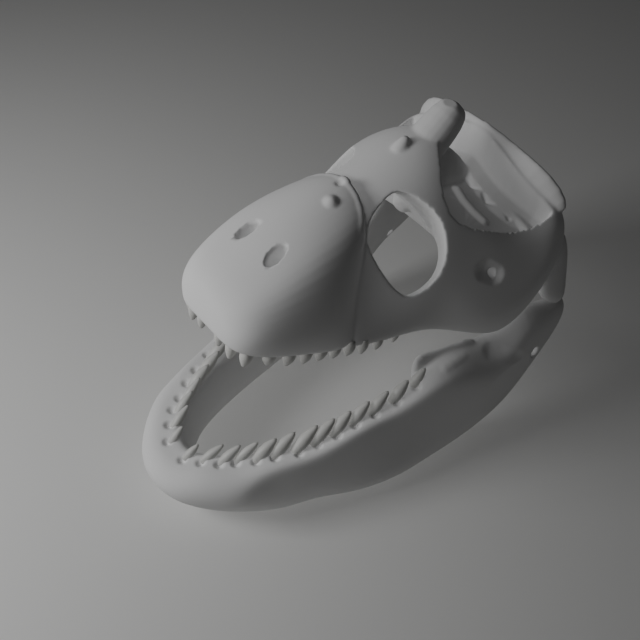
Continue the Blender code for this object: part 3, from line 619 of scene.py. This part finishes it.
for (x, y, z), _, _ in LOWER_TEETH:
    away = Vector((x, min(y - FAN_MIDDLE, 0.0))).normalized()
    pit = (x + PIT_OUT * away.x, y + PIT_OUT * away.y - PIT_FORWARD, z + PIT_UP)
    press_both(mandible, [pit], PIT_REACH, PIT_DEPTH)
press(mandible, *CHIN_GROOVE)
press_both(mandible, *WALL_DENT)
press_both(mandible, *RIM_SWELLING)
print("pressed", len(LOWER_TEETH) * 2, "pits beside the lower teeth")

# %% [markdown]
# The upper skull gets the raised lip where the snout meets the face, and a bar, a wavy slit and a ledge on
# the floor of the hollow on top. A bump, a nick and a few specks lie on or near the midline and have no twin
# on the other side, because an old bone is never quite even.

# %% Small marks pressed into the upper skull
SNOUT_LIP = ([(0.0, 0.380, 0.546), (0.033, 0.381, 0.541), (0.059, 0.378, 0.531), (0.089, 0.370, 0.512),
              (0.114, 0.356, 0.490)], 0.020, -0.006)  # fmt: skip
SNOUT_BUMP = ([(0.030, 0.318, 0.521)], 0.022, -0.010)
SNOUT_NICK = ([(0.0, 0.359, 0.540)], 0.014, 0.006)
FOSSA_BAR = ([(0.0, 0.776, 0.498), (0.050, 0.772, 0.486), (0.107, 0.774, 0.472), (0.166, 0.780, 0.456),
              (0.205, 0.786, 0.446)], 0.016, -0.012)  # fmt: skip
FOSSA_SLIT = ([(0.020, 0.752, 0.492), (0.050, 0.742, 0.484), (0.078, 0.752, 0.476), (0.104, 0.744, 0.469),
               (0.130, 0.758, 0.462), (0.165, 0.764, 0.452)], 0.011, 0.022)  # fmt: skip
FOSSA_LEDGE = ([(0.055, 0.690, 0.482), (0.088, 0.684, 0.473), (0.119, 0.686, 0.465), (0.150, 0.694, 0.456)],
               0.016, -0.009)  # fmt: skip
SPECKS = [(0.015, 0.433, 0.561), (0.025, 0.450, 0.569), (0.008, 0.446, 0.566), (-0.004, 0.420, 0.552)]
SPECK_REACH, SPECK_DEPTH = 0.007, -0.004

press_both(cranium, *SNOUT_LIP)
press(cranium, *SNOUT_BUMP)
press(cranium, *SNOUT_NICK)
for mark in (FOSSA_BAR, FOSSA_SLIT, FOSSA_LEDGE):
    press_both(cranium, *mark)
for speck in SPECKS:
    press(cranium, [speck], SPECK_REACH, SPECK_DEPTH)
print("raised", len(SPECKS), "specks behind the snout")

# %% [markdown]
# Bone this fine is too heavy for the shared library, so each skin is thinned where it is flat. Then it is
# moved from its drawing frame to the real one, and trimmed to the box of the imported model.

# %% Thin the skins and put them in place
MOST_TRIANGLES = 190000  # in each bone's skin, which has to stay under 200,000


def triangles(obj):
    return sum(len(face.vertices) - 2 for face in obj.data.polygons)


def place_bone(obj, matrix):
    have = triangles(obj)
    if have > MOST_TRIANGLES:
        fewer = obj.modifiers.new("Thinned", "DECIMATE")
        fewer.ratio = MOST_TRIANGLES / have
        settle(obj)
    obj.data.transform(matrix)
    move_skin(obj, np.clip(skin_points(obj), box_low, box_high))
    obj.data.shade_smooth()
    print(obj.name, "has", triangles(obj), "triangles")


place_bone(mandible, jaw_frame)
place_bone(cranium, skull_frame)

# %% [markdown]
# Every tooth is the same blunt cone, stretched and turned, so one shape is enough. A Geometry Nodes tree sets
# a copy on each point of a row. Each point carries two values: the way the tooth reaches, and how thick it
# is.

# %% A point for each tooth
ROOT_DEPTH = 0.014  # how far a tooth goes down into the bone


def tooth_points(name, row, matrix):
    """A mesh of one point for each tooth, at its root. Its reach and half width are attributes, in metres."""
    places, reaches, widths = [], [], []
    for neck, tip, radius in row:
        for side in (1.0, -1.0):
            flip = Matrix.Scale(side, 4, (1.0, 0.0, 0.0))
            start, end = flip @ Vector(neck), flip @ Vector(tip)
            root = start - (end - start).normalized() * ROOT_DEPTH
            places.append(matrix @ root)
            reaches.append((matrix @ end) - (matrix @ root))
            widths.append(radius * JAW_LENGTH)
    mesh = bpy.data.meshes.new(name)
    mesh.from_pydata(places, [], [])
    reach = mesh.attributes.new("reach", "FLOAT_VECTOR", "POINT")
    reach.data.foreach_set("vector", [v for r in reaches for v in r])
    width = mesh.attributes.new("half_width", "FLOAT", "POINT")
    width.data.foreach_set("value", widths)
    obj = bpy.data.objects.new(name, mesh)
    bpy.context.scene.collection.objects.link(obj)
    return obj


lower_teeth = tooth_points("lower_teeth", LOWER_TEETH, jaw_frame)
upper_teeth = tooth_points("upper_teeth", UPPER_TEETH, skull_frame)
print(len(lower_teeth.data.vertices), "lower and", len(upper_teeth.data.vertices), "upper teeth")


# %% [markdown]
# The materials are needed before the teeth, because the tree gives the teeth theirs. All bone and teeth share
# one shader node group, a fine grain with soft mottling and pores, so that they look like one find. Trees of
# nodes for shapes and for shaders are built with the same small helpers.

# %% Helpers for trees of nodes
def new_socket(tree, name, way, kind, value=None):
    socket = tree.interface.new_socket(name=name, in_out=way, socket_type=kind)
    if value is not None:
        socket.default_value = value


def add_node(tree, kind, feeds=None, **settings):
    """A new node with its settings. Each input named in feeds gets another node's output, or a value."""
    node = tree.nodes.new(kind)
    for name, value in settings.items():
        setattr(node, name, value)
    for name, value in (feeds or {}).items():
        if isinstance(value, bpy.types.NodeSocket):
            tree.links.new(value, node.inputs[name])
        else:
            node.inputs[name].default_value = value
    return node


def maths(tree, operation, a, b):
    return add_node(tree, "ShaderNodeMath", {0: a, 1: b}, operation=operation).outputs[0]


def vector_maths(tree, operation, feeds):
    return add_node(tree, "ShaderNodeVectorMath", feeds, operation=operation).outputs


# %% A shared group: grain of old bone
NOISES = ((7.0, 4.0), (90.0, 6.0), (260.0, 2.0))  # scale and detail of the mottling, the grain and the pores
NOISE_MEAN = 0.5
GRAIN_IN_COLOUR = 0.5
ROUGHNESS_DRIFT = 0.12
GRAIN_HEIGHT, PORE_HEIGHT = 0.7, 0.3


def noise(tree, place, scale, detail):
    feeds = {"Vector": place, "Scale": scale, "Detail": detail}
    return add_node(tree, "ShaderNodeTexNoise", feeds).outputs["Fac"]


def bone_grain_group():
    tree = bpy.data.node_groups.new("Bone grain", "ShaderNodeTree")
    new_socket(tree, "Colour", "INPUT", "NodeSocketColor")
    new_socket(tree, "Mottling", "INPUT", "NodeSocketFloat", 0.05)
    new_socket(tree, "Roughness", "INPUT", "NodeSocketFloat", 0.6)
    new_socket(tree, "Colour", "OUTPUT", "NodeSocketColor")
    new_socket(tree, "Roughness", "OUTPUT", "NodeSocketFloat")
    new_socket(tree, "Height", "OUTPUT", "NodeSocketFloat")
    given = tree.nodes.new("NodeGroupInput").outputs
    place = add_node(tree, "ShaderNodeTexCoord").outputs["Object"]
    cloud, grain, pores = (noise(tree, place, scale, detail) for scale, detail in NOISES)
    speckle = maths(tree, "ADD", cloud, maths(tree, "MULTIPLY", grain, GRAIN_IN_COLOUR))
    drift = maths(tree, "SUBTRACT", speckle, NOISE_MEAN * (1.0 + GRAIN_IN_COLOUR))
    shade = maths(tree, "ADD", maths(tree, "MULTIPLY", drift, given["Mottling"]), 1.0)
    coarse = maths(tree, "MULTIPLY", grain, GRAIN_HEIGHT)
    add_node(tree, "NodeGroupOutput", {
        "Colour": vector_maths(tree, "SCALE", {0: given["Colour"], "Scale": shade})["Vector"],
        "Roughness": maths(tree, "ADD", given["Roughness"], maths(tree, "MULTIPLY", drift, ROUGHNESS_DRIFT)),
        "Height": maths(tree, "ADD", coarse, maths(tree, "MULTIPLY", pores, PORE_HEIGHT)),
    })
    return tree


bone_grain = bone_grain_group()
grain_outputs = [item.name for item in bone_grain.interface.items_tree if item.in_out == "OUTPUT"]
print("the grain group gives", grain_outputs)

# %% [markdown]
# The bone is a plain matte grey. On the jaw it is painted a little darker, as painted shade for the shade that
# falls on the jaw. Enamel is paler and a little smoother, with less grain. So one function makes all four
# finishes from a colour, a roughness, a mottling and a bump strength.

# %% Four finishes: two bones and two kinds of tooth
BUMP_METRES = 0.0005
# Each finish: its colour, its roughness, how strong its mottling is and how strong its relief.
FINISHES = {
    "cranium_bone": ((0.40, 0.40, 0.39), 0.62, 0.10, 0.35),
    # The jaw's bone is darker than the upper skull's only by painted shade.
    "jaw_bone": ((0.38, 0.38, 0.37), 0.62, 0.10, 0.35),
    "upper_tooth": ((0.64, 0.64, 0.62), 0.48, 0.06, 0.15),
    "lower_tooth": ((0.66, 0.66, 0.64), 0.48, 0.06, 0.15),
}


def bone_material(name, colour, roughness, mottling, bump):
    material = bpy.data.materials.new(name)
    material.use_nodes = True
    material.diffuse_color = colour + (1.0,)
    tree = material.node_tree
    values = {"Colour": colour + (1.0,), "Mottling": mottling, "Roughness": roughness}
    grain = add_node(tree, "ShaderNodeGroup", values, node_tree=bone_grain).outputs
    relief = add_node(tree, "ShaderNodeBump",
                      {"Strength": bump, "Distance": BUMP_METRES, "Height": grain["Height"]})  # fmt: skip
    shader = tree.nodes["Principled BSDF"]
    tree.links.new(grain["Colour"], shader.inputs["Base Color"])
    tree.links.new(grain["Roughness"], shader.inputs["Roughness"])
    tree.links.new(relief.outputs["Normal"], shader.inputs["Normal"])
    return material


looks = {name: bone_material(name, *values) for name, values in FINISHES.items()}
print("finishes:", ", ".join(looks))

# %% [markdown]
# One tooth is a cylinder whose rings are drawn in by a profile curve and pushed sideways more and more
# towards the tip, so that it leans. It is one unit tall and one unit in half width, and each copy is
# stretched to its point's reach and half width. The copies are made real, because the export drops instances.

# %% One tooth, of unit size
TOOTH_PROFILE = [(0.0, 0.72), (0.22, 0.92), (0.40, 1.0), (0.60, 0.88), (0.80, 0.60), (0.94, 0.34), (1.0, 0.0)]
TOOTH_BEND = 0.35  # how far the tip leans off the axis, as a share of the half width
TOOTH_SIDES = TOOTH_RINGS = 14


def unit_tooth(tree, sides, rings, lean):
    """The nodes for one tooth, which stands on the origin."""
    column = add_node(tree, "GeometryNodeMeshCylinder",
                      {"Vertices": sides, "Side Segments": rings, "Radius": 1.0, "Depth": 1.0})  # fmt: skip
    # The column's middle is on the origin, so its foot is half a unit below.
    place = add_node(tree, "GeometryNodeInputPosition").outputs[0]
    from_middle = add_node(tree, "ShaderNodeSeparateXYZ", {0: place}).outputs["Z"]
    height = maths(tree, "ADD", from_middle, 0.5)
    profile = add_node(tree, "ShaderNodeFloatCurve", {"Value": height})
    curve = profile.mapping.curves[0]
    curve.points[0].location = TOOTH_PROFILE[0]
    curve.points[1].location = TOOTH_PROFILE[-1]
    for point in TOOTH_PROFILE[1:-1]:
        curve.points.new(*point)
    profile.mapping.update()

    flat = vector_maths(tree, "MULTIPLY", {0: place, 1: (1.0, 1.0, 0.0)})[0]
    drawn_in = vector_maths(tree, "SCALE", {0: flat, "Scale": profile.outputs[0]})[0]
    leaning = maths(tree, "MULTIPLY", maths(tree, "POWER", height, 2.0), lean)
    lifted = add_node(tree, "ShaderNodeCombineXYZ", {"Y": leaning, "Z": height}).outputs[0]
    new_place = vector_maths(tree, "ADD", {0: drawn_in, 1: lifted})[0]
    tooth = add_node(tree, "GeometryNodeSetPosition",
                     {"Geometry": column.outputs["Mesh"], "Position": new_place})  # fmt: skip
    return tooth.outputs["Geometry"]


# %% A tree that grows a tooth on each point
MERGE_METRES = 0.00001


def point_value(tree, name, kind):
    value = add_node(tree, "GeometryNodeInputNamedAttribute", {"Name": name}, data_type=kind)
    return value.outputs["Attribute"]


def tooth_tree():
    tree = bpy.data.node_groups.new("Teeth along a row", "GeometryNodeTree")
    new_socket(tree, "Geometry", "INPUT", "NodeSocketGeometry")
    new_socket(tree, "Sides", "INPUT", "NodeSocketInt", TOOTH_SIDES)
    new_socket(tree, "Rings", "INPUT", "NodeSocketInt", TOOTH_RINGS)
    new_socket(tree, "Lean", "INPUT", "NodeSocketFloat", TOOTH_BEND)
    new_socket(tree, "Finish", "INPUT", "NodeSocketMaterial")
    new_socket(tree, "Geometry", "OUTPUT", "NodeSocketGeometry")
    given = tree.nodes.new("NodeGroupInput").outputs
    tooth = unit_tooth(tree, given["Sides"], given["Rings"], given["Lean"])

    reach = point_value(tree, "reach", "FLOAT_VECTOR")
    half_width = point_value(tree, "half_width", "FLOAT")
    turn = add_node(tree, "FunctionNodeAlignRotationToVector", {"Vector": reach}, axis="Z")
    length = vector_maths(tree, "LENGTH", {0: reach})["Value"]
    size = add_node(tree, "ShaderNodeCombineXYZ", {"X": half_width, "Y": half_width, "Z": length})
    copies = add_node(tree, "GeometryNodeInstanceOnPoints", {
        "Points": given["Geometry"], "Instance": tooth,
        "Rotation": turn.outputs["Rotation"], "Scale": size.outputs[0],
    })  # fmt: skip

    real = add_node(tree, "GeometryNodeRealizeInstances", {0: copies.outputs[0]})
    welded = add_node(tree, "GeometryNodeMergeByDistance",
                      {"Geometry": real.outputs[0], "Distance": MERGE_METRES})  # fmt: skip
    smooth = add_node(tree, "GeometryNodeSetShadeSmooth", {"Geometry": welded.outputs[0]})
    finish = add_node(tree, "GeometryNodeSetMaterial",
                      {"Geometry": smooth.outputs[0], "Material": given["Finish"]})  # fmt: skip
    add_node(tree, "NodeGroupOutput", {"Geometry": finish.outputs[0]})
    return tree


teeth_along_row = tooth_tree()
print("the teeth's tree has", len(teeth_along_row.nodes), "nodes")

# %% Grow both rows
CM3_PER_M3 = 1e6


def grow_teeth(obj, finish):
    grown = obj.modifiers.new("Teeth", "NODES")
    grown.node_group = teeth_along_row
    sockets = {item.name: item.identifier for item in teeth_along_row.interface.items_tree}
    grown[sockets["Finish"]] = finish
    settle(obj)
    body = bmesh.new()
    body.from_mesh(obj.data)
    volume = round(body.calc_volume(signed=True) * CM3_PER_M3)
    body.free()
    print(obj.name, "has", len(obj.data.polygons), "faces and", volume, "cm3")


grow_teeth(lower_teeth, looks["lower_tooth"])
grow_teeth(upper_teeth, looks["upper_tooth"])

# %% [markdown]
# Each new piece is hung on the one body, and the imported model's pieces of the same kind, which it stands
# for, are hidden. All four are parts of one body.

# %% Hand the pieces to the frame
# The jaw gets the bone with painted shade, a little darker than the upper skull's.
mandible.data.materials.append(looks["jaw_bone"])
cranium.data.materials.append(looks["cranium_bone"])
stands_for = {
    mandible: ["mandible"],
    cranium: ["cranium"],
    lower_teeth: [name for name in node_names if name.startswith("lower_tooth")],
    upper_teeth: [name for name in node_names if name.startswith("upper_tooth")],
}
for piece, names in stands_for.items():
    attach(piece, "root")
    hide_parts(*names)
    print(piece.name, "stands for", len(names), "pieces of the frame")

# %% [markdown]
# The studio is plain: a pale floor, a soft light from the camera's left, a weak wide one from just above the
# camera and a faint even glow. About half of the light from the left casts no shadow, so that the mouth and
# the hollows stay readable.

# %% Floor and light
FLOOR_COLOUR = (0.80, 0.80, 0.79, 1.0)
FLOOR_ROUGHNESS = 0.9
FLOOR_SIDE = 14.0  # metres
FLOOR_DROP = 0.0002  # metres under the skull, so that nothing lies in the same plane

bpy.ops.mesh.primitive_plane_add(size=FLOOR_SIDE, location=(0.0, 0.0, -FLOOR_DROP))
floor = bpy.context.object
floor.name = "floor"
floor_look = bpy.data.materials.new("floor")
floor_look.use_nodes = True
floor_shader = floor_look.node_tree.nodes["Principled BSDF"]
floor_shader.inputs["Base Color"].default_value = FLOOR_COLOUR
floor_shader.inputs["Roughness"].default_value = FLOOR_ROUGHNESS
floor.data.materials.append(floor_look)
floor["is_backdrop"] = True

LIGHT_AIM = Vector((0.0, 0.0, 0.5))  # about the middle of the skull
KEY_WAY = (-0.8, 0.2, 0.55)  # to the camera's right, up, and towards the camera
KEY_DISTANCE, KEY_SIDE = 3.5, 1.2  # metres
KEY_WATTS, GLOW_WATTS = 32.0, 30.0
FILL_WAY = (0.0, 0.3, 1.0)
FILL_DISTANCE, FILL_SIDE, FILL_WATTS = 4.0, 3.0, 2.0
SKY_STRENGTH = 0.025
WHITE = (1.0, 1.0, 1.0, 1.0)


def soft_light(name, way, distance, side, watts, shadows=True):
    """A square light that shines at the skull from a way given in the camera's own axes."""
    light = bpy.data.lights.new(name, "AREA")
    light.size = side
    light.energy = watts
    light.use_shadow = shadows
    obj = bpy.data.objects.new(name, light)
    bpy.context.scene.collection.objects.link(obj)
    towards = (CAMERA_TURN @ Vector(way)).normalized()
    obj.location = LIGHT_AIM + towards * distance
    obj.rotation_euler = towards.to_track_quat("Z", "Y").to_euler()


soft_light("Key", KEY_WAY, KEY_DISTANCE, KEY_SIDE, KEY_WATTS)
soft_light("Key glow", KEY_WAY, KEY_DISTANCE, KEY_SIDE, GLOW_WATTS, shadows=False)
soft_light("Fill", FILL_WAY, FILL_DISTANCE, FILL_SIDE, FILL_WATTS)
world = bpy.data.worlds.new("Studio")
bpy.context.scene.world = world
world.use_nodes = True
world.node_tree.nodes["Background"].inputs["Color"].default_value = WHITE
world.node_tree.nodes["Background"].inputs["Strength"].default_value = SKY_STRENGTH

# %% [markdown]
# Last, the scene is brought up to date.

# %% Bring the scene up to date
bpy.context.view_layer.update()
